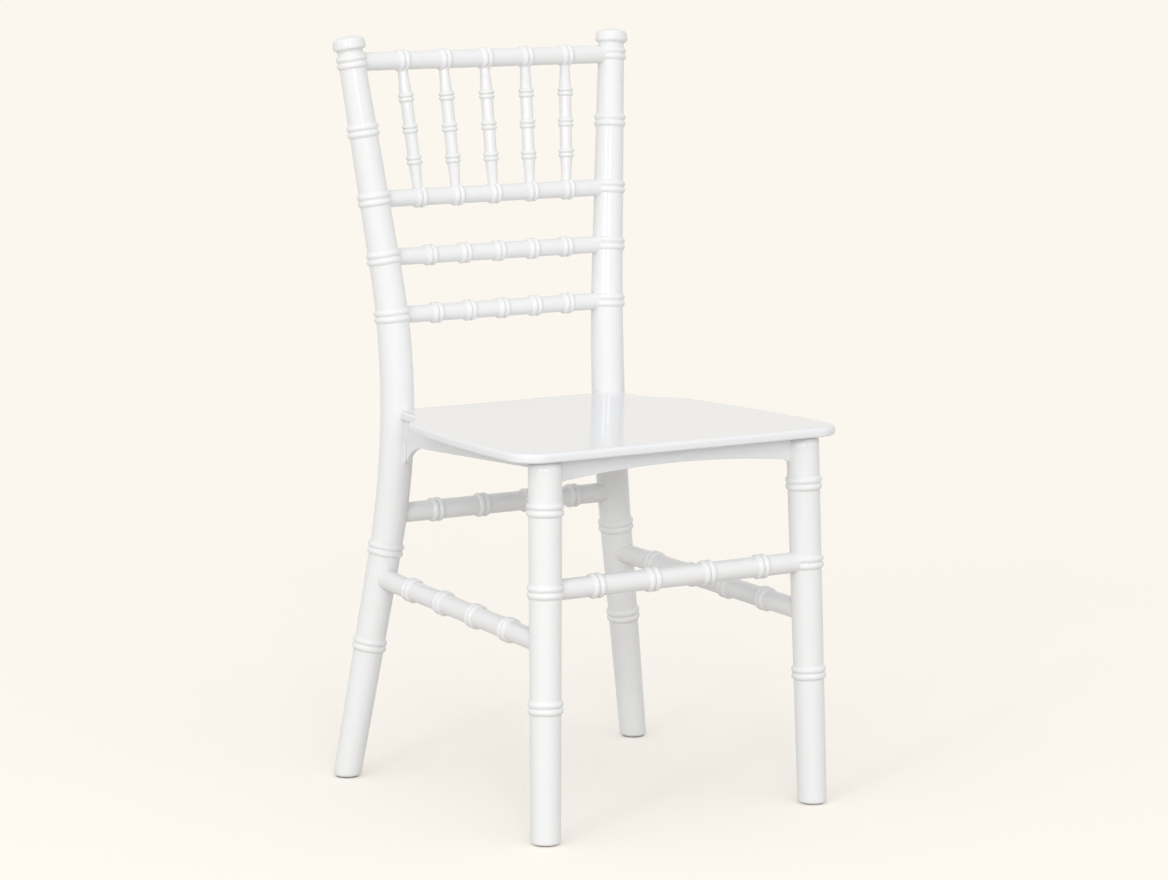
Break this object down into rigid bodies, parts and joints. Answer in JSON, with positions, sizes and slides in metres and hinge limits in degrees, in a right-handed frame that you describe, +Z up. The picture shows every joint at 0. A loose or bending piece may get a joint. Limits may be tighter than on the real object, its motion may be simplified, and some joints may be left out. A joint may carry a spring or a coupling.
{
  "type": "chiavari chair",
  "caption": "Child-size bamboo-style side chair in glossy white resin, with ringed uprights, rails, stretchers and back spindles, and a flat moulded seat.",
  "frame": {"origin": "on the floor, under the centre of the chair's overall box", "axes": "+X towards the members named right, +Y towards the back of the chair, which faces -Y, and +Z up"},
  "size_m": [0.3082, 0.3238, 0.6102],
  "materials": {
    "resin": "gloss",
    "glide": "matte",
    "steel": "satin",
    "brass": "satin"
  },
  "bodies": {
    "root": {"left_rear_post": "resin", "right_rear_post": "resin", "left_front_leg": "resin", "right_front_leg": "resin", "crest_rail": "resin", "spindle_rail": "resin", "upper_back_rail": "resin", "lower_back_rail": "resin", "spindle_1": "resin", "spindle_2": "resin", "spindle_3": "resin", "spindle_4": "resin", "spindle_5": "resin", "front_stretcher": "resin", "rear_stretcher": "resin", "left_side_stretcher": "resin", "right_side_stretcher": "resin", "seat_panel": "resin", "left_front_glide": "glide", "right_front_glide": "glide", "left_rear_glide": "glide", "right_rear_glide": "glide", "corner_bolts": "steel", "corner_washers": "steel", "threaded_inserts": "brass"}
  },
  "joints": []
}
